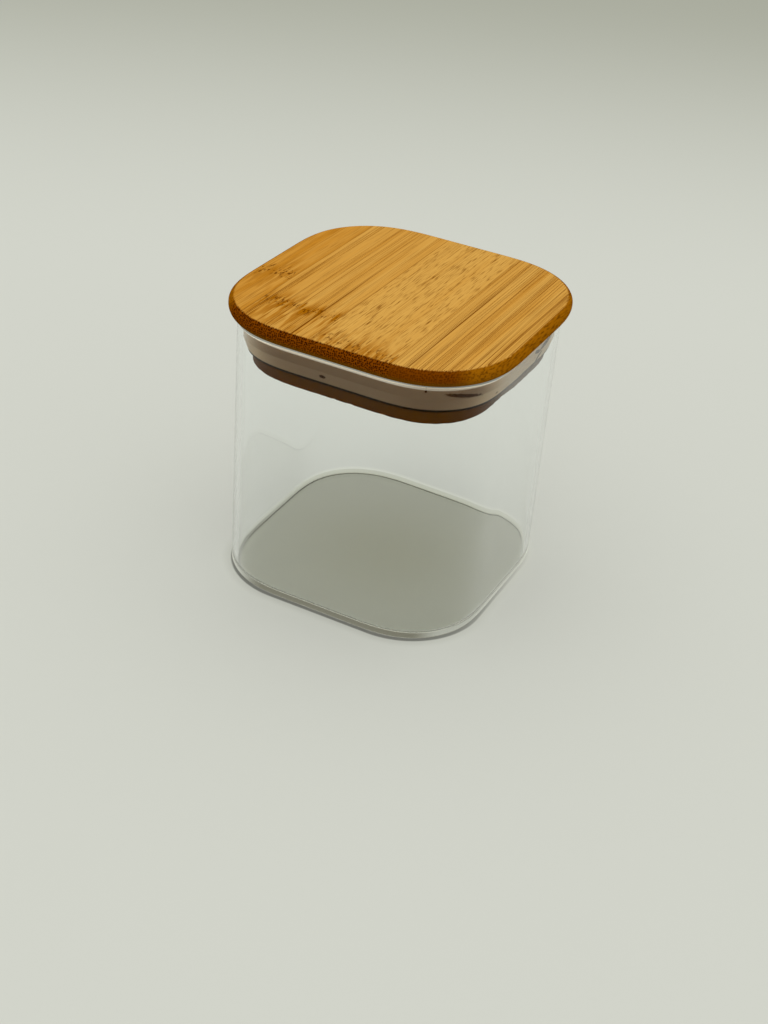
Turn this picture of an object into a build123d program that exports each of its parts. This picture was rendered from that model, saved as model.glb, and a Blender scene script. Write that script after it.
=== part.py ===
"""A small square spice jar of clear glass with a laminated bamboo lid.

The glass jar is straight-sided, with wide round corners, a flat foot and a rim that the flame has rounded.
The lid is milled from a board of three bamboo plies, each glued up from strips of one width. Its cover laps
over the rim, its plug goes down into the mouth, and a silicone seal fills a groove round the plug. A lip on
the seal leans out and up to the glass, and its grip holds the lid a little clear of the rim. The lid can't turn
in the square mouth, and pulls straight up.

Every outline round the jar runs parallel to its wall, so all the round corners share the wall's centres.

The origin is at the middle of the foot, on the surface that the jar stands on. +Z is up, and the side of the
lid where the ends of the cover's strips show faces -Y. All sizes are in millimetres.
"""

import os

from build123d import *

# Glass jar
jar_width = 67.8
jar_corner_radius = 20.2
jar_height = 68.4
wall_thickness = 1.4
floor_thickness = 1.0
heel_radius = 1.4
floor_fillet = 1.5
rim_round_share = 0.47

# Bamboo lid: a cover over the rim, and a plug with a groove and a lip
cover_overhang = 2.1
cover_thickness = 4.2
cover_top_round_share = 0.4
cover_bottom_round_share = 0.52
lid_gap = 0.7
plug_clearance = 2.5
groove_height = 7.9
groove_depth = 2.0
plug_lip_height = 3.7
plug_edge_chamfer = 0.5

# Bamboo strips: where the glue joints cross each ply, as shares of that ply's half-width
ply_count = 3
cover_joint_shares = (-0.7, -0.1444, 0.4111, 0.9667)
core_joint_shares = (-0.636, 0.0707, 0.7774)
plug_joint_shares = (-0.5017, 0.1584, 0.8185)

# Silicone seal: a band round the plug's neck, and a lip that leans out from the band's foot to the glass
seal_clearance = 0.1
band_thickness = 1.2
lip_foot_set_in = 1.2
lip_thickness = 0.9
lip_root_height = 1.6
lip_contact_height = 3.8
lip_tip_drop = 1.4

# One overrun serves every cut that goes right through
overrun = 5.0

# Places that follow from these sizes
jar_half = jar_width / 2
corner_centre = jar_half - jar_corner_radius
mouth_half = jar_half - wall_thickness
rim_round = rim_round_share * wall_thickness

cover_half = jar_half + cover_overhang
cover_bottom = jar_height + lid_gap
cover_top = cover_bottom + cover_thickness
cover_top_round = cover_top_round_share * cover_thickness
cover_bottom_round = cover_bottom_round_share * cover_thickness
plug_half = mouth_half - plug_clearance
neck_half = plug_half - groove_depth
groove_bottom = cover_bottom - groove_height
plug_bottom = groove_bottom - plug_lip_height
ply_thickness = (cover_top - plug_bottom) / ply_count

band_bore_half = neck_half + seal_clearance
band_half = band_bore_half + band_thickness
seal_bottom = groove_bottom + seal_clearance
seal_top = cover_bottom - seal_clearance
lip_foot_half = mouth_half - lip_foot_set_in
lip_tip_half = mouth_half - seal_clearance
lip_tip = seal_top - lip_tip_drop
lip_root = seal_bottom + lip_root_height
lip_contact = seal_bottom + lip_contact_height
lip_lean_at_root = (lip_tip_half - lip_foot_half) * lip_root_height / lip_contact_height


def rounded_square(half):
    """Draw a square with round corners in the open sketch, parallel to the jar's wall."""
    return RectangleRounded(2 * half, 2 * half, half - corner_centre)


def edges_at(part, height):
    """Find the edges of a part that lie flat at one height."""
    return part.edges().filter_by_position(Axis.Z, height, height)


def strip_spans(joint_shares, half):
    """List where each strip across a ply starts and ends."""
    joints = [share * half for share in joint_shares]
    edges = [-half - overrun, *joints, half + overrun]
    return list(zip(edges, edges[1:]))


def write_piece(piece, name):
    """Name a finished piece and write it to its own file."""
    piece.label = name
    export_step(piece, f"parts/{name}.step")


def write_slats(ply, ply_bottom, spans, grain):
    """Saw one ply of the lid into its strips, whose grain runs along an axis, and write each of them."""
    ply_length = 2 * (cover_half + overrun)
    for number, (start, end) in enumerate(spans, start=1):
        middle = (start + end) / 2
        with BuildPart() as slat:
            add(lid_blank.part)
            with BuildSketch(Plane.XY.offset(ply_bottom)):
                if grain == Axis.Y:
                    with Locations((middle, 0)):
                        Rectangle(end - start, ply_length)
                else:
                    with Locations((0, middle)):
                        Rectangle(ply_length, end - start)
            extrude(amount=ply_thickness, mode=Mode.INTERSECT)
        write_piece(slat.part, f"{ply}_slat_{number}")


os.makedirs("parts", exist_ok=True)

# The glass is a block with a rounded heel and rim, hollowed from the top
with BuildPart() as glass_jar:
    with BuildSketch():
        rounded_square(jar_half)
    extrude(amount=jar_height)
    fillet(edges_at(glass_jar, 0), heel_radius)
    fillet(edges_at(glass_jar, jar_height), rim_round)
    with BuildSketch(Plane.XY.offset(floor_thickness)):
        rounded_square(mouth_half)
    extrude(amount=jar_height, mode=Mode.SUBTRACT)
    fillet(edges_at(glass_jar, floor_thickness), floor_fillet)
    rim_top = glass_jar.faces().sort_by(Axis.Z)[-1]
    fillet(rim_top.inner_wires()[0].edges(), rim_round)
write_piece(glass_jar.part, "glass_jar")

# The lid's outside, before it is parted into strips: cover, neck and plug lip
with BuildPart() as lid_blank:
    with BuildSketch(Plane.XY.offset(cover_bottom)):
        rounded_square(cover_half)
    extrude(amount=cover_thickness)
    fillet(edges_at(lid_blank, cover_top), cover_top_round)
    fillet(edges_at(lid_blank, cover_bottom), cover_bottom_round)
    with BuildSketch(Plane.XY.offset(plug_bottom)):
        rounded_square(plug_half)
    extrude(amount=plug_lip_height)
    chamfer(edges_at(lid_blank, plug_bottom), plug_edge_chamfer)
    with BuildSketch(Plane.XY.offset(groove_bottom)):
        rounded_square(neck_half)
    extrude(amount=groove_height)

# The outer plies have their grain along Y, and the core between them is laid across
write_slats("cover", cover_top - ply_thickness, strip_spans(cover_joint_shares, cover_half), Axis.Y)
write_slats("core", plug_bottom + ply_thickness, strip_spans(core_joint_shares, neck_half), Axis.X)
write_slats("plug", plug_bottom, strip_spans(plug_joint_shares, plug_half), Axis.Y)

# The seal's lip is cut free of its band down to the root, so that it can bend in as the lid goes down
with BuildPart() as silicone_seal:
    with BuildSketch(Plane.XY.offset(seal_bottom)):
        rounded_square(lip_foot_half)
    with BuildSketch(Plane.XY.offset(lip_contact)):
        rounded_square(lip_tip_half)
    with BuildSketch(Plane.XY.offset(lip_tip)):
        rounded_square(lip_tip_half)
    loft(ruled=True)
    with BuildSketch(Plane.XY.offset(lip_root)):
        rounded_square(lip_foot_half + lip_lean_at_root - lip_thickness)
    with BuildSketch(Plane.XY.offset(lip_contact)):
        rounded_square(lip_tip_half - lip_thickness)
    with BuildSketch(Plane.XY.offset(lip_tip)):
        rounded_square(lip_tip_half - lip_thickness)
    loft(ruled=True, mode=Mode.SUBTRACT)
    with BuildSketch(Plane.XY.offset(seal_bottom)):
        rounded_square(band_half)
    extrude(amount=seal_top - seal_bottom)
    with BuildSketch(Plane.XY.offset(seal_bottom)):
        rounded_square(band_bore_half)
    extrude(amount=seal_top - seal_bottom, mode=Mode.SUBTRACT)
write_piece(silicone_seal.part, "silicone_seal")
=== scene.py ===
"""Dresses a small square spice jar: clear glass, a bamboo lid glued up from strips, and a silicone seal."""

import math
from typing import NamedTuple

import bmesh
import bpy
from bpy.props import FloatProperty, FloatVectorProperty, IntProperty, PointerProperty
from bpy.types import Operator, Panel, PropertyGroup
from mathutils import Matrix, Vector, noise


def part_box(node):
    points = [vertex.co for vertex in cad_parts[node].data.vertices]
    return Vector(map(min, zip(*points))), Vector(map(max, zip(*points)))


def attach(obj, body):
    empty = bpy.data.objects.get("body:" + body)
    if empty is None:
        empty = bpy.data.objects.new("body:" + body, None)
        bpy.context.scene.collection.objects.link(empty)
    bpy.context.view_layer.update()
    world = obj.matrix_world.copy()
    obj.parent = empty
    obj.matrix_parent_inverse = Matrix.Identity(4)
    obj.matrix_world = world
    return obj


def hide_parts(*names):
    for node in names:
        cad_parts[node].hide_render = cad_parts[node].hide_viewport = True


bl_info = {
    "name": "Spice Jar",
    "version": (1, 0, 0),
    "blender": (4, 5, 0),
    "location": "View3D > Sidebar > Spice Jar",
    "description": "Makes the pieces of a square glass spice jar with a bamboo lid",
    "category": "Add Mesh",
}

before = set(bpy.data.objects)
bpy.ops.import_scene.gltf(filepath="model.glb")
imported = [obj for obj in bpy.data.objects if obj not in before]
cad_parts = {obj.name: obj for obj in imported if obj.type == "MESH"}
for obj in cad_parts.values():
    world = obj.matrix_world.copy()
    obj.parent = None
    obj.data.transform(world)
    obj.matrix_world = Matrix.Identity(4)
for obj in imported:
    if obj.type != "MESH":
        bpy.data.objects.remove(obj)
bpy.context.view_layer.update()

MM = 0.001
COVER_NODES = sorted(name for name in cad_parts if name.startswith("cover_slat"))
CORE_NODES = sorted(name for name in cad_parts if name.startswith("core_slat"))
PLUG_NODES = sorted(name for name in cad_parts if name.startswith("plug_slat"))


def span(nodes):
    """Lowest and highest corner round several CAD nodes."""
    boxes = [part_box(node) for node in nodes]
    low = Vector(min(box[0][axis] for box in boxes) for axis in range(3))
    high = Vector(max(box[1][axis] for box in boxes) for axis in range(3))
    return low, high


JAR_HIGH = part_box("glass_jar")[1]
SEAL_LOW, SEAL_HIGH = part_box("silicone_seal")
COVER_LOW, COVER_HIGH = span(COVER_NODES)
CORE_HIGH = span(CORE_NODES)[1]
PLUG_LOW, PLUG_HIGH = span(PLUG_NODES)


def srgb(red, green, blue):
    """A colour given as three numbers up to 255, as Blender's linear values."""
    linear = []
    for level in (red, green, blue):
        part = level / 255
        linear.append(part / 12.92 if part <= 0.04045 else ((part + 0.055) / 1.055) ** 2.4)
    return tuple(linear)


def length(name, description, default):
    """A size that a user may change, in metres."""
    return FloatProperty(name=name, description=description, default=default, min=0, precision=5,
                         subtype="DISTANCE", unit="LENGTH")


def colour(name, description, default):
    """A colour that a user may change."""
    return FloatVectorProperty(name=name, description=description, default=default, size=3,
                               min=0, max=1, subtype="COLOR")


def share(name, description, default, highest=1.0):
    """A plain number that a user may change, up to a highest one."""
    return FloatProperty(name=name, description=description, default=default, min=0, max=highest)


def angle(name, description, degrees):
    """An angle that a user may change."""
    return FloatProperty(name=name, description=description, default=math.radians(degrees), subtype="ANGLE",
                         unit="ROTATION")


def count(name, description, default, least=1):
    """How many faces something has."""
    return IntProperty(name=name, description=description, default=default, min=least)


class GlassSettings(PropertyGroup):
    corner_centre: length("Corner centre", "How far each corner's centre lies from the middle", 13.7 * MM)
    wall: length("Wall", "Thickness of the wall", 1.4 * MM)
    floor: length("Floor", "Thickness of the floor", 1.0 * MM)
    heel: length("Heel", "Radius where the wall turns into the foot", 1.4 * MM)
    floor_fillet: length("Floor fillet", "Radius inside, where the wall meets the floor", 1.5 * MM)
    rim_round: length("Rim", "Radius of the rim's inner and outer edge", 0.66 * MM)
    flat_ring: length("Flat ring", "Width of the ring of faces inside the foot's and the floor's edge", 12.0 * MM)
    corner_steps: count("Corner steps", "Faces round each corner", 48, least=4)
    side_steps: count("Side steps", "Faces along each side", 12)
    corner_blend: FloatProperty(name="Corner blend", description="Share of a corner over which its bend sets in",
                                default=0.3, min=0.01, max=0.5)
    tint: colour("Tint", "What the walls let through", srgb(254, 255, 255))
    # Painted shade, partly a real tint: the glass floor darkens what lies under it, most in the middle, as in the
    # lid's shadow
    floor_tint_and_shade: colour("Floor tint", "What the floor lets through near its edge", srgb(239, 240, 228))
    middle_tint_and_shade: colour("Middle tint", "What the floor lets through in the middle", srgb(229, 229, 213))
    index: FloatProperty(name="Index", description="How strongly the glass bends light", default=1.47, min=1)
    mirror: colour("Mirror", "What the glass reflects where it is seen straight on", srgb(80, 80, 80))
    # Painted light: an emission glow in the rim, standing in for light the wall carries up
    glow: colour("Rim glow", "Light that the wall carries up to its rim", srgb(146, 146, 134))
    # Painted light: an emission glow and a brighter glint in the heel, and how far up the wall they reach
    painted_heel_glow: colour("Heel glow", "Light that the floor carries out to its heel", srgb(120, 119, 104))
    painted_heel_glint: colour("Heel glint", "The same light where the heel turns to the sides", srgb(170, 172, 160))
    heel_reach: length("Heel reach", "How far up the wall the light in the heel reaches", 2.38 * MM)


class BambooSettings(PropertyGroup):
    top_round: length("Top round", "Radius of the cover's upper edge", 1.68 * MM)
    bottom_round: length("Bottom round", "Radius of the cover's lower edge", 2.18 * MM)
    plug_chamfer: length("Plug chamfer", "Size of the bevel under the plug's lip", 0.5 * MM)
    side_steps: count("Side steps", "Faces along each side of the lid", 96)
    torn: length("Torn fibres", "How far fibres are torn out of the plug's lower edge", 0.40 * MM)
    bundle: length("Bundle spacing", "From one fibre bundle to the next on a sawn end", 0.48 * MM)
    pale: colour("Pale wood", "Ground colour of the palest strips", srgb(214, 163, 78))
    golden: colour("Golden wood", "Ground colour of the warmest strips", srgb(195, 130, 36))
    amber: colour("Amber wood", "Patches round the nodes", srgb(168, 103, 8))
    fibre: colour("Fibre", "Fibre bundles sawn along their length", srgb(120, 66, 0))
    mark: colour("Node marks", "Fibre bundles that turn through the face at a node", srgb(96, 48, 0))
    # Partly the wood's own colour, partly painted shade: the sides along the grain are darker, as if shaded from
    # the light overhead
    oiled: colour("Oiled side", "Sides that run along the grain", srgb(154, 94, 6))
    end_wood: colour("End wood", "Ground colour of the sawn ends", srgb(122, 61, 0))
    end_fibre: colour("End fibre", "Fibre bundles sawn across", srgb(46, 8, 0))
    inner_wood: colour("Inner wood", "Lower part of the cover's edge", srgb(104, 68, 10))
    # Painted shade, partly the wood's own colour: the plug's edge is darker, as in the shade under the seal and
    # the cover
    plug_wood_and_shade: colour("Plug wood", "Edge of the plug, under the seal", srgb(90, 51, 2))
    gloss: share("Gloss", "Strength of the shine on the oiled wood", 0.0)


class SealSettings(PropertyGroup):
    clearance: length("Clearance", "Between the seal and what it touches", 0.1 * MM)
    band: length("Band", "Thickness of the band round the neck", 1.2 * MM)
    foot_set_in: length("Foot set-in", "From the glass to the foot of the lip", 1.2 * MM)
    lip: length("Lip", "Thickness of the lip", 0.9 * MM)
    root_height: length("Root height", "Height at which the lip leaves the band", 1.6 * MM)
    contact_height: length("Contact height", "Height at which the lip meets the glass", 3.8 * MM)
    tip_drop: length("Tip drop", "From the top of the band down to the lip's tip", 1.4 * MM)
    # Partly the silicone's own colour, partly painted light and shade: darker where it faces straight on, as in
    # the cover's shade, and paler where it turns away, as lit from the sides
    milky: colour("Milky silicone", "Colour of the silicone over the dark wood", srgb(138, 113, 87))
    pale: colour("Pale silicone", "Colour of the silicone where it is seen from the side", srgb(206, 180, 144))
    fleck: colour("Flecks", "Colour of the dark flecks on the seal", srgb(62, 34, 8))
    # Painted shade: a dark band at the seal's foot, in the seam over the plug
    seam: colour("Seam", "Colour of the shaded seam between the seal and the plug", srgb(30, 14, 2))
    seam_height: length("Seam height", "How far the seam reaches up the seal", 0.6 * MM)


class StageSettings(PropertyGroup):
    floor_radius: length("Floor radius", "How far the floor reaches", 4.0)
    floor_drop: length("Floor drop", "How far the floor lies under the jar's foot", 0.03 * MM)
    floor_steps: count("Floor steps", "Faces round the floor's edge", 96, least=12)
    floor_colour: colour("Floor", "Colour of the floor round the jar", srgb(210, 212, 202))
    # Painted shade: the floor darkens behind the jar, as where less light falls
    far_shade_colour: colour("Far floor", "Colour of the floor where it falls off behind", srgb(172, 174, 160))
    fall_start: length("Fall-off start", "How far behind the jar the floor starts to darken", 0.15)
    fall_end: length("Fall-off end", "How far behind the jar the floor is darkest", 0.65)
    haze_start: length("Haze start", "How far out the floor starts to fade into the even light", 1.2)
    # Painted shadow: a dark contact line and a soft shade on the floor round the front of the foot
    contact: share("Contact", "How dark the line is that the floor has round the front of the foot", 0.7)
    contact_shadow_reach: length("Contact reach", "How far out that dark line fades away", 0.55 * MM)
    shade: share("Shade", "How dark the soft shade is round the front of the foot", 0.14)
    shade_reach: length("Shade reach", "How far out that soft shade fades away", 3.0 * MM)
    fill: share("Fill", "Share of the floor's colour that shadows don't reach", 0.36)
    world_strength: share("World", "Strength of the even light", 0.88, highest=10.0)
    lamp_power: FloatProperty(name="Lamp", description="Power of the lamp overhead", default=1.6, min=0,
                              subtype="POWER", unit="POWER")
    lamp_height: length("Lamp height", "How high the lamp hangs over the floor", 0.9)
    lamp_width: length("Lamp width", "Width of the square lamp", 1.1)
    distance: length("Camera distance", "From the camera to the point it looks at", 0.34884)
    azimuth: angle("Azimuth", "Turn of the camera round the jar", 25.506)
    elevation: angle("Elevation", "Camera's height over the horizon", 32.43)
    roll: angle("Roll", "Lean of the camera about its own axis", 4.798)
    aim: FloatVectorProperty(name="Aim", description="The point that the camera looks at", size=3,
                             default=(16.74 * MM, -35.96 * MM, 36.67 * MM), subtype="TRANSLATION", unit="LENGTH")
    lens: FloatProperty(name="Lens", description="Focal length on a 36 mm sensor", default=54.07,
                        subtype="DISTANCE_CAMERA")


class Value:
    """A socket of a node tree, with Python's operators adding the Math nodes."""

    def __init__(self, tree, socket):
        self.tree = tree
        self.socket = socket

    def math(self, operation, *others):
        """A Math node on this value and perhaps another one."""
        return self.tree.add("ShaderNodeMath", {"operation": operation}, [self, *others])

    def __add__(self, other):
        return self.math("ADD", other)

    def __radd__(self, other):
        return self + other

    def __sub__(self, other):
        return self.math("SUBTRACT", other)

    def __rsub__(self, other):
        return self.tree.add("ShaderNodeMath", {"operation": "SUBTRACT"}, [other, self])

    def __mul__(self, other):
        return self.math("MULTIPLY", other)

    def __rmul__(self, other):
        return self * other

    def __truediv__(self, other):
        return self.math("DIVIDE", other)

    def __rtruediv__(self, other):
        return self.tree.add("ShaderNodeMath", {"operation": "DIVIDE"}, [other, self])

    def output(self, name):
        """Another output of the same node."""
        return Value(self.tree, self.socket.node.outputs[name])

    def smooth(self, low, high):
        """0 below low, 1 above high, and a soft step between them."""
        settings = {"interpolation_type": "SMOOTHSTEP"}
        inputs = {"Value": self, "From Min": low, "From Max": high}
        return self.tree.add("ShaderNodeMapRange", settings, inputs)


class Tree:
    """The nodes of one material."""

    # A Mix node's sockets for two colours, and its output for the mixed one
    MIX_FIRST, MIX_SECOND, MIX_RESULT = 6, 7, 2

    def __init__(self, name):
        self.material = bpy.data.materials.new(name)
        self.material.use_nodes = True
        self.nodes = self.material.node_tree.nodes
        self.links = self.material.node_tree.links
        self.nodes.clear()

    def add(self, kind, settings=None, inputs=None, output=0):
        """Adds a node, sets it up, fills or links its sockets, and returns one of its outputs."""
        node = self.nodes.new(kind)
        for key, value in (settings or {}).items():
            setattr(node, key, value)
        pairs = inputs.items() if isinstance(inputs, dict) else enumerate(inputs or ())
        for key, value in pairs:
            if isinstance(value, Value):
                self.links.new(value.socket, node.inputs[key])
            elif value is not None:
                node.inputs[key].default_value = value
        return Value(self, node.outputs[output])

    def place(self):
        """Places on the object, in metres."""
        return self.add("ShaderNodeTexCoord", None, None, "Object")

    def millimetres(self):
        """Places on the object, in millimetres."""
        return self.vector("SCALE", self.place(), 1 / MM)

    def parts(self, vector):
        """The X, Y and Z of a vector."""
        x = self.add("ShaderNodeSeparateXYZ", None, [vector])
        return x, x.output("Y"), x.output("Z")

    def facing(self):
        """The X, Y and Z of the way a surface faces, on the object."""
        return self.parts(self.add("ShaderNodeTexCoord", None, None, "Normal"))

    def vector(self, operation, first, second=None, output=0):
        """Vector maths on two vectors, or on one vector and a number."""
        inputs = {0: first, "Scale": second} if operation == "SCALE" else {0: first, 1: second}
        return self.add("ShaderNodeVectorMath", {"operation": operation}, inputs, output)

    def dot(self, first, second):
        """How far one vector reaches along another."""
        return self.vector("DOT_PRODUCT", first, second, "Value")

    def mix(self, factor, first, second):
        """Goes from the first colour to the second."""
        pair = [tone if isinstance(tone, Value) else (*tone, 1) for tone in (first, second)]
        inputs = {0: factor, self.MIX_FIRST: pair[0], self.MIX_SECOND: pair[1]}
        return self.add("ShaderNodeMix", {"data_type": "RGBA"}, inputs, self.MIX_RESULT)

    def finish(self, shader):
        """Puts the shader on the surface and hands back the material."""
        surface = self.nodes.new("ShaderNodeOutputMaterial").inputs["Surface"]
        self.links.new(shader.socket, surface)
        return self.material


def soft_corner(radius, blend, steps):
    """Steps round a quarter turn: how far along, how far in, and the heading. Its bend sets in and dies away
    softly, and its middle is where a plain arc's would be."""
    shares = [min(1, (step + 0.5) / steps / blend, (steps - step - 0.5) / steps / blend) for step in range(steps)]
    turns = [part / sum(shares) * math.pi / 2 for part in shares]
    along = inward = heading = 0
    path = [(along, inward, heading)]
    for turn in turns:
        heading += turn / 2
        along += math.cos(heading)
        inward += math.sin(heading)
        heading += turn / 2
        path.append((along, inward, heading))
    scale = radius * (1 - math.sqrt(0.5)) / path[steps // 2][1]
    return [(along * scale, inward * scale, heading) for along, inward, heading in path]


def outline(half, glass, side_steps):
    """Points round a square with round corners, anticlockwise from the +X side, parallel to the jar's wall."""
    jar_half = JAR_HIGH.x
    set_out = half - jar_half
    corner = soft_corner(jar_half - glass.corner_centre, glass.corner_blend, glass.corner_steps)
    straight = jar_half - corner[-1][0]
    points = []
    for quarter in range(4):
        turn = Matrix.Rotation(quarter * math.pi / 2, 2)
        for step in range(side_steps):
            points.append(turn @ Vector((half, straight * (2 * step / side_steps - 1))))
        for along, inward, heading in corner[:-1]:
            out = Vector((math.cos(heading), math.sin(heading)))
            points.append(turn @ (Vector((jar_half - inward, straight + along)) + set_out * out))
    return points


def rounded(corners, steps, closed=False):
    """A profile through corners given as half-width, height and radius, with an arc at each rounded one."""
    points = []
    for index, (half, height, radius) in enumerate(corners):
        here = Vector((half, height))
        if radius == 0 or (not closed and index in (0, len(corners) - 1)):
            points.append(here)
            continue
        to_last = (Vector(corners[index - 1][:2]) - here).normalized()
        to_next = (Vector(corners[(index + 1) % len(corners)][:2]) - here).normalized()
        middle = (to_last + to_next).normalized()
        opening = to_last.angle(to_next) / 2
        centre = here + middle * (radius / math.sin(opening))
        first = here + to_last * (radius / math.tan(opening)) - centre
        last = here + to_next * (radius / math.tan(opening)) - centre
        for step in range(steps + 1):
            points.append(centre + radius * first.slerp(last, step / steps).normalized())
    return [tuple(point) for point in points]


def sweep(profile, glass, side_steps, closed=False):
    """A mesh that carries a profile round the square. An open profile is closed by flat ends."""
    mesh = bmesh.new()
    rings = []
    for half, height in profile:
        points = outline(half, glass, side_steps)
        rings.append([mesh.verts.new((point.x, point.y, height)) for point in points])
    pairs = list(zip(rings, rings[1:]))
    if closed:
        pairs.append((rings[-1], rings[0]))
    for lower, upper in pairs:
        for index in range(len(lower)):
            after = (index + 1) % len(lower)
            mesh.faces.new((lower[index], lower[after], upper[after], upper[index]))
    if not closed:
        mesh.faces.new(list(reversed(rings[0])))
        mesh.faces.new(rings[-1])
    bmesh.ops.recalc_face_normals(mesh, faces=mesh.faces)
    return mesh


# Edges that bend more sharply than this stay crisp
SHARP_ANGLE = math.radians(40)


def piece(name, mesh, material, body, node):
    """Turns a finished mesh into a smooth-shaded piece that stands for its CAD node."""
    data = bpy.data.meshes.new(name)
    mesh.to_mesh(data)
    mesh.free()
    data.materials.append(material)
    data.shade_smooth()
    data.set_sharp_from_angle(angle=SHARP_ANGLE)
    made = bpy.data.objects.new(name, data)
    bpy.context.scene.collection.objects.link(made)
    weighted = made.modifiers.new("Even shading", "WEIGHTED_NORMAL")
    weighted.keep_sharp = True
    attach(made, body)
    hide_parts(node)


# Painted light in the rim, an emission glow, by how far under the rim's top it sets in and is full, and what of
# it is lost at the corner in front on the right. All sizes in the pieces' materials are in millimetres
RIM_DEPTHS = (0.62, 0.45)
RIM_CORNER = (48.0, 55.0)
RIM_CORNER_LOSS = 0.3

# Painted light in the heel, an emission glow, by how far the surface faces up, and what of it is lost where it is
# seen from inside
HEEL_FROM = (-0.99, -0.93)
HEEL_UNTIL = (0.05, 0.30)
HEEL_FADE = 0.25
HEEL_INSIDE_LOSS = 0.8

# Where the heel's painted glint makes it brighter, by height, and by X and Y at the jar's left and right side as
# the camera sees them
GLINT_HEIGHTS = (0.5, 0.9)
LEFT_GLINT = ((-25.0, -16.0), (-24.0, -14.0))
RIGHT_GLINT = ((24.0, 30.0), (24.0, 32.0))

# Where the floor's tint and painted shade give way to the wall's tint, over the floor's top, and the middle's
# darker painted shade to the edge's, from the middle
FLOOR_SKIN = (0.02, 0.35)
MIDDLE_REACH = (2.0, 34.0)


def glass_material(settings):
    """Clear glass, with a little painted light, an emission glow, in its rim and heel where long paths through
    the wall end, and painted shade in its floor.
    """
    tree = Tree("Clear glass")
    x, y, z = tree.parts(tree.millimetres())
    up = tree.facing()[2]
    top = JAR_HIGH.z / MM
    floor = settings.floor / MM
    reach = settings.heel_reach / MM

    # Painted light: masks for the emission glow in the rim and the glow and glint in the heel
    rim = z.smooth(*(top - depth for depth in RIM_DEPTHS)) * (1 - RIM_CORNER_LOSS * (x - y).smooth(*RIM_CORNER))
    outside = 1 - HEEL_INSIDE_LOSS * tree.add("ShaderNodeNewGeometry", None, None, "Backfacing")
    bend = up.smooth(*HEEL_FROM) * (1 - up.smooth(*HEEL_UNTIL))
    heel = bend * (1 - z.smooth(reach - HEEL_FADE, reach)) * outside
    left = (1 - x.smooth(*LEFT_GLINT[0])) * (1 - y.smooth(*LEFT_GLINT[1]))
    right = x.smooth(*RIGHT_GLINT[0]) * (1 - y.smooth(*RIGHT_GLINT[1]))
    glint = left.math("MAXIMUM", right) * z.smooth(*GLINT_HEIGHTS)
    in_rim = tree.mix(rim, (0, 0, 0), settings.glow)
    # Painted glow and glint in the heel
    in_heel = tree.mix(glint, settings.painted_heel_glow, settings.painted_heel_glint)

    # Painted shade: the floor's tint darkens what is seen through it, most in the middle, as in the lid's shadow
    low = 1 - z.smooth(*(floor + height for height in FLOOR_SKIN))
    middle = 1 - (x * x + y * y).math("SQRT").smooth(*MIDDLE_REACH)
    floor_tint_and_shade = tree.mix(middle, settings.floor_tint_and_shade, settings.middle_tint_and_shade)
    shader = tree.add("ShaderNodeBsdfPrincipled", None, {
        "Base Color": tree.mix(low, settings.tint, floor_tint_and_shade),
        "Roughness": 0.0,
        "IOR": settings.index,
        "Transmission Weight": 1.0,
        "Specular Tint": (*settings.mirror, 1),
        "Emission Color": tree.mix(heel, in_rim, in_heel),
        "Emission Strength": 1.0,
    })
    return tree.finish(shader)


class Fleck(NamedTuple):
    """A dark fleck on the seal's skin, in millimetres."""

    centre: tuple
    direction: tuple
    half_length: float
    half_height: float


SEAL_FLECKS = (
    Fleck((-2.9, -32.2, 63.7), (1.0, 0.0, 0.0), 0.85, 0.5),
    Fleck((28.1, -24.8, 65.8), (0.60, 0.78, -0.15), 4.9, 0.5),
    Fleck((32.2, 9.6, 66.2), (0.0, 0.98, 0.20), 3.4, 0.75),
    Fleck((32.2, 5.0, 65.5), (0.0, 0.97, -0.24), 2.0, 0.55),
    Fleck((32.2, 7.0, 63.3), (0.0, 0.55, 0.83), 1.7, 0.8),
    Fleck((21.7, -30.4, 67.0), (0.83, 0.55, 0.0), 0.3, 0.3),
    Fleck((32.1, -15.3, 63.3), (0.0, 1.0, 0.0), 0.35, 0.3),
)

# How deep a fleck reaches, how its edge wanders, and where the edge lies between its middle (0) and its rim (1)
FLECK_DEPTH = 8.0
FLECK_WANDER = {"Scale": 1.6, "Detail": 2.0}
FLECK_WANDER_STRENGTH = 1.6
FLECK_EDGE = (0.5, 1.2)

# How far away the silicone has to face to look pale, as painted light from the sides, and at how many of its
# heights the seam's painted shade is gone
SEAL_FACING = (0.25, 0.80)
SEAM_FADE = 1.6

SEAL_SKIN = {"Scale": 9.0, "Detail": 3.0}
SILICONE_INDEX = 1.41


def fleck_mask(tree, place):
    """1 on the seal's dark flecks, and 0 elsewhere."""
    wander = tree.add("ShaderNodeTexNoise", None, {"Vector": place, **FLECK_WANDER})
    mask = None
    for fleck in SEAL_FLECKS:
        along = Vector(fleck.direction).normalized()
        upright = (Vector((0, 0, 1)) - along * along.z).normalized()
        arm = tree.vector("SUBTRACT", place, fleck.centre)
        run = tree.dot(arm, along / fleck.half_length)
        rise = tree.dot(arm, upright / fleck.half_height)
        depth = tree.dot(arm, along.cross(upright) / FLECK_DEPTH)
        reach = run * run + rise * rise + depth * depth + (wander - 0.5) * FLECK_WANDER_STRENGTH
        inside = 1 - reach.smooth(*FLECK_EDGE)
        mask = inside if mask is None else mask.math("MAXIMUM", inside)
    return mask


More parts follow.
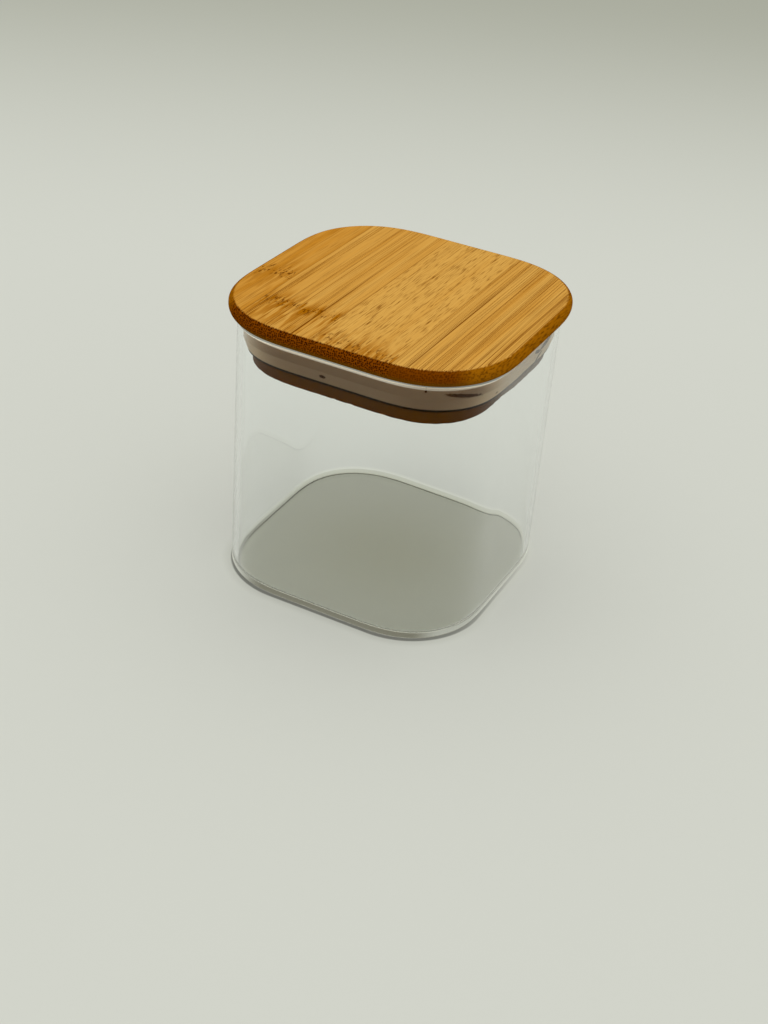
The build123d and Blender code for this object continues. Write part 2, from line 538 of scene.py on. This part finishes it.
def silicone_material(settings):
    """Soft milky silicone with a few dark flecks, painted shade where it faces straight on and along its foot,
    and painted light where it turns away.
    """
    tree = Tree("Silicone")
    place = tree.millimetres()
    height = tree.parts(place)[2] - SEAL_LOW.z / MM
    seam = settings.seam_height / MM
    facing = tree.add("ShaderNodeLayerWeight", None, None, "Facing")
    # Painted light and shade: darker where the seal faces straight on, paler where it turns away
    tone = tree.mix(facing.smooth(*SEAL_FACING), settings.milky, settings.pale)
    tone = tree.mix(fleck_mask(tree, place), tone, settings.fleck)
    # Painted shade in the seam at the seal's foot
    tone = tree.mix(1 - height.smooth(seam, SEAM_FADE * seam), tone, settings.seam)
    skin = tree.add("ShaderNodeTexNoise", None, {"Vector": place, **SEAL_SKIN})
    shader = tree.add("ShaderNodeBsdfPrincipled", None, {
        "Base Color": tone,
        "Roughness": 0.38 + skin * 0.12,
        "IOR": SILICONE_INDEX,
        "Specular IOR Level": 0.0,
        "Subsurface Weight": 0.2,
        "Subsurface Radius": (1.0, 0.8, 0.6),
        "Subsurface Scale": 0.8 * MM,
        "Normal": tree.add("ShaderNodeBump", None, {"Height": skin, "Strength": 0.06, "Distance": 0.05 * MM}),
    })
    return tree.finish(shader)


class StripLook(NamedTuple):
    """What makes one bamboo strip look unlike the next. Sizes and places are in millimetres."""

    tone: float             # 0 for pale wood, 1 for golden wood
    dashes: float           # strength of the short dashes
    run: float              # length of the short dashes
    lines: float            # strength of the long lines
    node: float             # where the node crosses the strip
    reach: float = 2.6      # how far the node's marks spread along the strip
    lean: float = 0.0       # how far the node lies aslant
    marks: float = 1.0      # strength of the node's dark marks
    patches: float = 0.6    # strength of the amber patches round the node
    ends: float = 1.0       # how clearly the bundles show on the sawn ends


STRIP_LOOKS = {
    "cover_slat_1": StripLook(tone=0.72, dashes=0.45, run=9, lines=0.40, node=-3.4, reach=5.0, lean=-0.15,
                              marks=0.9, patches=0.5),
    "cover_slat_2": StripLook(tone=0.38, dashes=0.35, run=16, lines=0.95, node=-22.2, reach=4.0, marks=0.85,
                              patches=0.75),
    "cover_slat_3": StripLook(tone=0.00, dashes=0.70, run=4.5, lines=0.45, node=-33.0, reach=4.4, marks=0.7),
    "cover_slat_4": StripLook(tone=0.27, dashes=0.35, run=22, lines=1.30, node=60.0, ends=0.45),
    "cover_slat_5": StripLook(tone=0.90, dashes=0.40, run=6, lines=0.40, node=1.5, reach=4.5, patches=0.8,
                              ends=0.25),
}
PLAIN_LOOKS = (
    StripLook(tone=0.50, dashes=0.40, run=12, lines=0.60, node=14.0),
    StripLook(tone=0.20, dashes=0.70, run=5, lines=0.30, node=-9.0, reach=3.4),
    StripLook(tone=0.60, dashes=0.30, run=20, lines=0.90, node=26.0),
    StripLook(tone=0.40, dashes=0.50, run=9, lines=0.50, node=-19.0, marks=0.7),
)

# Noise drawn out along the fibres: width and length in millimetres, and detail
NODE_LINE = (1.1, 1000.0, 2.0)
PATCHES = (0.9, 8.0)
TONE_BANDS = (2.4, 90.0, 2.0)
FINE_FIBRES = (0.17, 14.0)
LONG_LINES = (0.15, 110.0)
DASH_WIDTH = 0.28
DASH_GROUPS = (1.6, 5.0)
NODE_MARKS = (0.42, 1.30)
ROUGH_ARRIS = (0.3, 0.7, 2.0)
PLANED_PORES = (0.35, 2.2, 3.0)

# Levels between which each feature sets in
PATCH_LEVELS = (0.42, 0.60)
LINE_LEVELS = (0.52, 0.68)
DASH_LEVELS = (0.50, 0.72)
MARK_LEVELS = (0.54, 0.64)
PORE_LEVELS = (0.42, 0.70)
BUNDLE_LEVELS = (0.24, 0.50)
SIDE_SLOPES = (0.20, 0.46)
END_FACING = (0.55, 0.80)

# Depths under the lid's top, as shares of the cover's ply, between which the edge changes its colour
SAWN_DEPTHS = (0.38, 0.70)
PLANED_DEPTHS = (0.35, 0.85)
# Below the cover's ply the edge takes the plug's colour, darkened by painted shade
PLUG_DEPTHS = (0.98, 1.02)

# Half the width of a glue line, in millimetres, from its full strength to none
GLUE_WIDTHS = (0.03, 0.14)
GLUE_STRENGTH = 0.35

# Step through the noise, in millimetres, from one strip to the next
GRAIN_SEED_STEP = 37.0


class Grain:
    """Places in one strip, and noise drawn out along its fibres."""

    def __init__(self, tree, axis, seed):
        x, y, self.up = tree.parts(tree.millimetres())
        self.tree = tree
        self.axis = axis
        self.across, self.along = (x, y) if axis == 1 else (y, x)
        places = [self.across + seed * GRAIN_SEED_STEP, self.along, self.up]
        self.spot = tree.add("ShaderNodeCombineXYZ", None, places)

    def fibres(self, width, run, detail=1.0):
        """Noise of one width across the fibres and one length along them."""
        stretched = self.tree.vector("MULTIPLY", self.spot, (1 / width, 1 / run, 1 / width))
        return self.tree.add("ShaderNodeTexNoise", None, {"Vector": stretched, "Scale": 1.0, "Detail": detail})


def top_wood(tree, grain, settings, look):
    """Colour of a face sawn along the fibres, how strongly dark fibres streak it, and its finest fibres."""
    # The node is a ragged line across the strip, with amber patches on both sides of it, most in front
    ragged = (grain.fibres(*NODE_LINE) - 0.5) * (2.2 * look.reach)
    off = grain.along - look.node + grain.across * look.lean + ragged
    near = 1 - off.math("ABSOLUTE").smooth(0.10 * look.reach, 0.85 * look.reach)
    round_node = off.smooth(-20.0, -3.0) * (1 - off.smooth(0.2 * look.reach, 2.4 * look.reach))
    amber = round_node * grain.fibres(*PATCHES).smooth(*PATCH_LEVELS) * look.patches
    amber = amber + near * (0.35 * look.patches)

    # Long lines stand in groups across the strip, and dashes break off along it
    band = grain.fibres(*TONE_BANDS)
    fine = grain.fibres(*FINE_FIBRES)
    lines = grain.fibres(*LONG_LINES).smooth(*LINE_LEVELS) * (band * 1.6 + 0.1) * look.lines
    groups = grain.fibres(*DASH_GROUPS) * 1.4 + 0.2
    dashes = grain.fibres(DASH_WIDTH, look.run).smooth(*DASH_LEVELS) * groups * look.dashes
    streaks = lines.math("MAXIMUM", dashes) + (fine - 0.5) * 0.7
    marks = near * grain.fibres(*NODE_MARKS).smooth(*MARK_LEVELS) * look.marks

    tone = tree.mix(band * 1.4 - 0.7 + look.tone, settings.pale, settings.golden)
    tone = tree.mix(amber, tone, settings.amber)
    tone = tree.mix(streaks, tone, settings.fibre)
    return tree.mix(marks, tone, settings.mark), streaks, fine


def edge_wood(tree, grain, settings, look):
    """Colour of the lid's edge, where it shows, darkened in part by painted shade on the planed sides and the
    plug, and the fibre bundles on the ends sawn across.
    """
    face_x, face_y, _ = tree.facing()
    slope = (face_x * face_x + face_y * face_y).math("SQRT")
    toward = (face_y if grain.axis == 1 else face_x).math("ABSOLUTE") / (slope + 0.001)
    side = (slope + (grain.fibres(*ROUGH_ARRIS) - 0.45) * 0.5).smooth(*SIDE_SLOPES)
    depth = (COVER_HIGH.z / MM - grain.up) * (MM / (COVER_HIGH.z - COVER_LOW.z))

    section = tree.add("ShaderNodeCombineXYZ", None, [grain.across, grain.up, 0.0])
    cells = tree.add("ShaderNodeTexVoronoi", {"voronoi_dimensions": "2D"}, {
        "Vector": section, "Scale": MM / settings.bundle, "Randomness": 0.65}, "Distance")
    chance = tree.parts(cells.output("Color"))[0]
    bundle = (1 - cells.smooth(*BUNDLE_LEVELS)) * (chance * 0.4 + 0.7)
    dots = bundle * look.ends + (1 - look.ends) * 0.25
    sawn = tree.mix(dots, settings.end_wood, settings.end_fibre)
    sawn = tree.mix(depth.smooth(*SAWN_DEPTHS) * (1 - bundle * 0.3), sawn, settings.inner_wood)

    pores = grain.fibres(*PLANED_PORES).smooth(*PORE_LEVELS) * 0.6
    # Painted shade in part: the planed sides take the darker oiled colour
    planed = tree.mix(pores, settings.oiled, settings.end_fibre)
    planed = tree.mix(depth.smooth(*PLANED_DEPTHS), planed, settings.inner_wood)
    edge = tree.mix(toward.smooth(*END_FACING), planed, sawn)
    # Under the cover's ply, the plug's colour with its painted shade
    return tree.mix(depth.smooth(*PLUG_DEPTHS), edge, settings.plug_wood_and_shade), side, bundle


def bamboo_material(node, settings, look, axis, seed, joints):
    """Bamboo whose fibre bundles run along one axis, so that they show as lines on top and dots on the ends."""
    tree = Tree(f"Bamboo {node}")
    grain = Grain(tree, axis, seed)
    top, streaks, fine = top_wood(tree, grain, settings, look)
    edge, side, bundle = edge_wood(tree, grain, settings, look)
    tone = tree.mix(side, top, edge)

    # A thin dark glue line where the strip meets its neighbours
    for joint in joints:
        glue = 1 - (grain.across - joint / MM).math("ABSOLUTE").smooth(*GLUE_WIDTHS)
        tone = tree.mix(glue * GLUE_STRENGTH, tone, settings.fibre)

    relief = fine * 0.3 - streaks * 0.4 - bundle * side * 0.5
    shader = tree.add("ShaderNodeBsdfPrincipled", None, {
        "Base Color": tone,
        "Roughness": 0.44 + streaks * 0.12,
        "Specular IOR Level": settings.gloss,
        "Normal": tree.add("ShaderNodeBump", None, {"Height": relief, "Strength": 0.3, "Distance": 0.05 * MM}),
    })
    return tree.finish(shader)


GLASS_ARC_STEPS = 12


class SPICE_JAR_OT_glass(Operator):
    """Make the glass jar, with its heel, floor and fire-polished rim"""

    bl_idname = "spice_jar.glass"
    bl_label = "Make Glass Jar"

    def execute(self, context):
        glass = context.scene.spice_jar_glass
        outer = JAR_HIGH.x
        inner = outer - glass.wall
        top = JAR_HIGH.z
        flat = glass.flat_ring
        profile = rounded([
            (outer - flat, 0, 0),
            (outer, 0, glass.heel),
            (outer, top, glass.rim_round),
            (inner, top, glass.rim_round),
            (inner, glass.floor, glass.floor_fillet),
            (inner - flat, glass.floor, 0),
        ], GLASS_ARC_STEPS)
        mesh = sweep(profile, glass, glass.side_steps)
        piece("glass", mesh, glass_material(glass), "jar", "glass_jar")
        return {"FINISHED"}


LID_ARC_STEPS = 10

# How close to a cut a point counts as on it, in metres
CUT_TOLERANCE = 1e-7

# Sizes of the tears in the plug's lower edge with the depth of each, and how far up they reach, in bevels
TEARS = ((2.1 * MM, 1.0), (0.7 * MM, 0.5))
TEAR_REACH = 1.5


def lid_profile(settings, clearance):
    """The lid's outside from the plug's foot up and over the cover, as half-widths and heights."""
    cover, plug, neck = COVER_HIGH.x, PLUG_HIGH.x, CORE_HIGH.x
    groove_bottom = SEAL_LOW.z - clearance
    cover_bottom = SEAL_HIGH.z + clearance
    bevel = settings.plug_chamfer
    return rounded([
        (plug - bevel, PLUG_LOW.z, 0),
        (plug, PLUG_LOW.z + bevel, 0),
        (plug, groove_bottom, 0),
        (neck, groove_bottom, 0),
        (neck, cover_bottom, 0),
        (cover, cover_bottom, settings.bottom_round),
        (cover, COVER_HIGH.z, settings.top_round),
        (cover - 2 * settings.top_round, COVER_HIGH.z, 0),
    ], LID_ARC_STEPS)


def cut(mesh, point, normal):
    """Saws off what lies beyond a plane, and closes the cut."""
    geometry = [*mesh.verts, *mesh.edges, *mesh.faces]
    done = bmesh.ops.bisect_plane(mesh, geom=geometry, dist=CUT_TOLERANCE, plane_co=point, plane_no=normal,
                                  clear_outer=True)
    edges = [item for item in done["geom_cut"] if isinstance(item, bmesh.types.BMEdge)]
    bmesh.ops.holes_fill(mesh, edges=edges, sides=0)


def tear(mesh, settings):
    """Raises the points of the plug's lower edge a little here and there, where the saw tore fibres out."""
    for vertex in mesh.verts:
        if vertex.co.z < PLUG_LOW.z + TEAR_REACH * settings.plug_chamfer:
            place = Vector((vertex.co.x, vertex.co.y, 0))
            torn = sum(depth * noise.noise(place / size) for size, depth in TEARS)
            vertex.co.z += settings.torn * max(0, torn)


def make_slats(context, nodes, axis):
    """Saws one ply's strips out of the lid, side by side along an axis, each between its CAD node's limits."""
    settings = context.scene.spice_jar_bamboo
    glass = context.scene.spice_jar_glass
    clearance = context.scene.spice_jar_seal.clearance
    low, high = span(nodes)
    for number, node in enumerate(nodes):
        start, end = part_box(node)
        mesh = sweep(lid_profile(settings, clearance), glass, settings.side_steps)
        if high.z < COVER_HIGH.z:
            cut(mesh, (0, 0, high.z), (0, 0, 1))
        if low.z > PLUG_LOW.z:
            cut(mesh, (0, 0, low.z), (0, 0, -1))
        else:
            tear(mesh, settings)
        along = Vector((0, 0, 0))
        along[axis] = 1
        joints = []
        if number > 0:
            cut(mesh, along * start[axis], -along)
            joints.append(start[axis])
        if number < len(nodes) - 1:
            cut(mesh, along * end[axis], along)
            joints.append(end[axis])
        look = STRIP_LOOKS.get(node, PLAIN_LOOKS[number % len(PLAIN_LOOKS)])
        seed = number + len(PLAIN_LOOKS) * (low.z / MM)
        material = bamboo_material(node, settings, look, 1 - axis, seed, joints)
        piece(node.replace("slat", "strip"), mesh, material, "lid", node)


class SPICE_JAR_OT_cover(Operator):
    """Make the strips of the lid's top ply"""

    bl_idname = "spice_jar.cover"
    bl_label = "Make Cover Strips"

    def execute(self, context):
        make_slats(context, COVER_NODES, 0)
        return {"FINISHED"}


class SPICE_JAR_OT_core(Operator):
    """Make the strips of the lid's middle ply"""

    bl_idname = "spice_jar.core"
    bl_label = "Make Core Strips"

    def execute(self, context):
        make_slats(context, CORE_NODES, 1)
        return {"FINISHED"}


class SPICE_JAR_OT_plug(Operator):
    """Make the strips of the lid's bottom ply"""

    bl_idname = "spice_jar.plug"
    bl_label = "Make Plug Strips"

    def execute(self, context):
        make_slats(context, PLUG_NODES, 0)
        return {"FINISHED"}


SEAL_ARC_STEPS = 8

# Radius of the seal's ordinary edges, as a share of its lip's thickness
SEAL_ROUND_SHARE = 0.45


class SPICE_JAR_OT_seal(Operator):
    """Make the silicone seal"""

    bl_idname = "spice_jar.seal"
    bl_label = "Make Seal"

    def execute(self, context):
        glass = context.scene.spice_jar_glass
        seal = context.scene.spice_jar_seal
        neck = CORE_HIGH.x + seal.clearance
        tip = SEAL_HIGH.x
        foot = JAR_HIGH.x - glass.wall - seal.foot_set_in
        low, high = SEAL_LOW.z, SEAL_HIGH.z
        contact = low + seal.contact_height
        root = low + seal.root_height
        leaning = foot + (tip - foot) * seal.root_height / seal.contact_height
        soft = SEAL_ROUND_SHARE * seal.lip
        crisp, bend, inner_bend = 0.2 * soft, 4 * soft, 3 * soft
        profile = rounded([
            (neck, low, crisp),
            (foot, low, soft),
            (tip, contact, bend),
            (tip, high - seal.tip_drop, soft),
            (tip - seal.lip, high - seal.tip_drop, soft),
            (tip - seal.lip, contact, inner_bend),
            (leaning - seal.lip, root, soft / 2),
            (neck + seal.band, root, soft / 2),
            (neck + seal.band, high, soft / 2),
            (neck, high, crisp),
        ], SEAL_ARC_STEPS, closed=True)
        mesh = sweep(profile, glass, glass.side_steps, closed=True)
        piece("seal", mesh, silicone_material(seal), "lid", "silicone_seal")
        return {"FINISHED"}


# Where the floor's painted contact shadow and painted shade set in under the heel, and where they fade from the
# side with the strips' ends to the opposite side, in metres
SHADE_UNDER_HEEL = (-2 * MM, -0.5 * MM)
SHADE_FADE = (-1.2 * JAR_HIGH.y, 0.9 * JAR_HIGH.y)

SENSOR_WIDTH = 36
NEAREST_SEEN = 10 * MM


def floor_material(stage, corner_centre):
    """Pale floor with painted shade that darkens it behind, fading into the even light far out, and a painted
    contact shadow, a dark line, round the foot.
    """
    tree = Tree("Pale floor")
    place = tree.place()
    behind = (-math.sin(stage.azimuth), math.cos(stage.azimuth), 0)
    # Painted shade: darker further behind the jar
    away = tree.dot(place, behind)
    tone = tree.mix(away.smooth(stage.fall_start, stage.fall_end), stage.floor_colour, stage.far_shade_colour)
    haze = tree.vector("LENGTH", place, None, "Value").smooth(stage.haze_start, stage.floor_radius)
    tone = tree.mix(haze, tone, (stage.world_strength,) * 3)

    # How far a place lies outside the jar's wall, all round, in metres
    beyond = tree.vector("SUBTRACT", tree.vector("ABSOLUTE", place), (corner_centre, corner_centre, 0))
    gap = tree.vector("LENGTH", tree.vector("MAXIMUM", beyond, (0, 0, 0)), None, "Value")
    gap = gap - (JAR_HIGH.x - corner_centre)
    # Painted shadow: the dark line and the soft shade round the front of the foot
    line = (1 - gap.smooth(0, stage.contact_shadow_reach)) * stage.contact
    shade = (1 - gap.smooth(0, stage.shade_reach)) * stage.shade
    front = gap.smooth(*SHADE_UNDER_HEEL) * (1 - tree.parts(place)[1].smooth(*SHADE_FADE))
    tone = tree.mix(line.math("MAXIMUM", shade) * front, tone, (0, 0, 0))

    # What is seen of the floor, straight or through the glass, is partly its plain colour
    lit = tree.add("ShaderNodeBsdfDiffuse", None, {"Color": tone})
    plain = tree.add("ShaderNodeEmission", None, {"Color": tone, "Strength": 1.0})
    camera_ray = tree.add("ShaderNodeLightPath", None, None, "Is Camera Ray")
    seen = camera_ray + camera_ray.output("Is Glossy Ray") + camera_ray.output("Is Transmission Ray")
    unlit = seen.math("MINIMUM", 1.0) * (stage.fill + (1 - stage.fill) * haze)
    return tree.finish(tree.add("ShaderNodeMixShader", None, [unlit, lit, plain]))


def add_floor(scene):
    """Lays the round floor under the jar."""
    stage = scene.spice_jar_stage
    mesh = bmesh.new()
    bmesh.ops.create_circle(mesh, cap_ends=True, segments=stage.floor_steps, radius=stage.floor_radius)
    bmesh.ops.translate(mesh, verts=mesh.verts, vec=(0, 0, -stage.floor_drop))
    data = bpy.data.meshes.new("floor")
    mesh.to_mesh(data)
    mesh.free()
    data.materials.append(floor_material(stage, scene.spice_jar_glass.corner_centre))
    floor = bpy.data.objects.new("floor", data)
    scene.collection.objects.link(floor)


def add_light(scene):
    """Lights the jar evenly from all round, and a little from overhead."""
    stage = scene.spice_jar_stage
    world = bpy.data.worlds.new("Even light")
    world.use_nodes = True
    background = world.node_tree.nodes["Background"]
    background.inputs["Color"].default_value = (1, 1, 1, 1)
    background.inputs["Strength"].default_value = stage.world_strength
    scene.world = world

    lamp = bpy.data.lights.new("overhead", "AREA")
    lamp.shape = "SQUARE"
    lamp.size = stage.lamp_width
    lamp.energy = stage.lamp_power
    overhead = bpy.data.objects.new("overhead", lamp)
    overhead.location = (0, 0, stage.lamp_height)
    scene.collection.objects.link(overhead)


def add_camera(scene):
    """Sets the camera where the photograph was taken from."""
    stage = scene.spice_jar_stage
    lens = bpy.data.cameras.new("camera")
    lens.lens = stage.lens
    lens.sensor_width = SENSOR_WIDTH
    lens.clip_start = NEAREST_SEEN
    camera = bpy.data.objects.new("camera", lens)
    flat = math.cos(stage.elevation)
    back = Vector((math.sin(stage.azimuth) * flat, -math.cos(stage.azimuth) * flat, math.sin(stage.elevation)))
    level = (-back).to_track_quat("-Z", "Y").to_matrix()
    camera.rotation_euler = (level @ Matrix.Rotation(stage.roll, 3, "Z")).to_euler()
    camera.location = Vector(stage.aim) + back * stage.distance
    scene.collection.objects.link(camera)
    scene.camera = camera


class SPICE_JAR_OT_stage(Operator):
    """Set the floor, the light and the camera"""

    bl_idname = "spice_jar.stage"
    bl_label = "Set Stage"

    def execute(self, context):
        add_floor(context.scene)
        add_light(context.scene)
        add_camera(context.scene)
        context.scene.view_settings.view_transform = "Standard"
        return {"FINISHED"}


class SPICE_JAR_PT_panel(Panel):
    """Lists the pieces of the spice jar"""

    bl_idname = "SPICE_JAR_PT_panel"
    bl_label = "Spice Jar"
    bl_space_type = "VIEW_3D"
    bl_region_type = "UI"
    bl_category = "Spice Jar"

    def draw(self, context):
        for operator in OPERATORS:
            self.layout.operator(operator.bl_idname)


SETTINGS = {
    "spice_jar_glass": GlassSettings,
    "spice_jar_bamboo": BambooSettings,
    "spice_jar_seal": SealSettings,
    "spice_jar_stage": StageSettings,
}
OPERATORS = (
    SPICE_JAR_OT_stage,
    SPICE_JAR_OT_glass,
    SPICE_JAR_OT_cover,
    SPICE_JAR_OT_core,
    SPICE_JAR_OT_plug,
    SPICE_JAR_OT_seal,
)


def register():
    """Tells Blender of the settings, the operators and the panel."""
    for group in (*SETTINGS.values(), *OPERATORS, SPICE_JAR_PT_panel):
        bpy.utils.register_class(group)
    for name, group in SETTINGS.items():
        setattr(bpy.types.Scene, name, PointerProperty(type=group))


def unregister():
    """Takes them away again."""
    for name in SETTINGS:
        delattr(bpy.types.Scene, name)
    for group in reversed((*SETTINGS.values(), *OPERATORS, SPICE_JAR_PT_panel)):
        bpy.utils.unregister_class(group)


def main():
    """Makes every piece in turn."""
    register()
    bpy.ops.spice_jar.stage()
    bpy.ops.spice_jar.glass()
    bpy.ops.spice_jar.cover()
    bpy.ops.spice_jar.core()
    bpy.ops.spice_jar.plug()
    bpy.ops.spice_jar.seal()


if __name__ == "__main__":
    main()
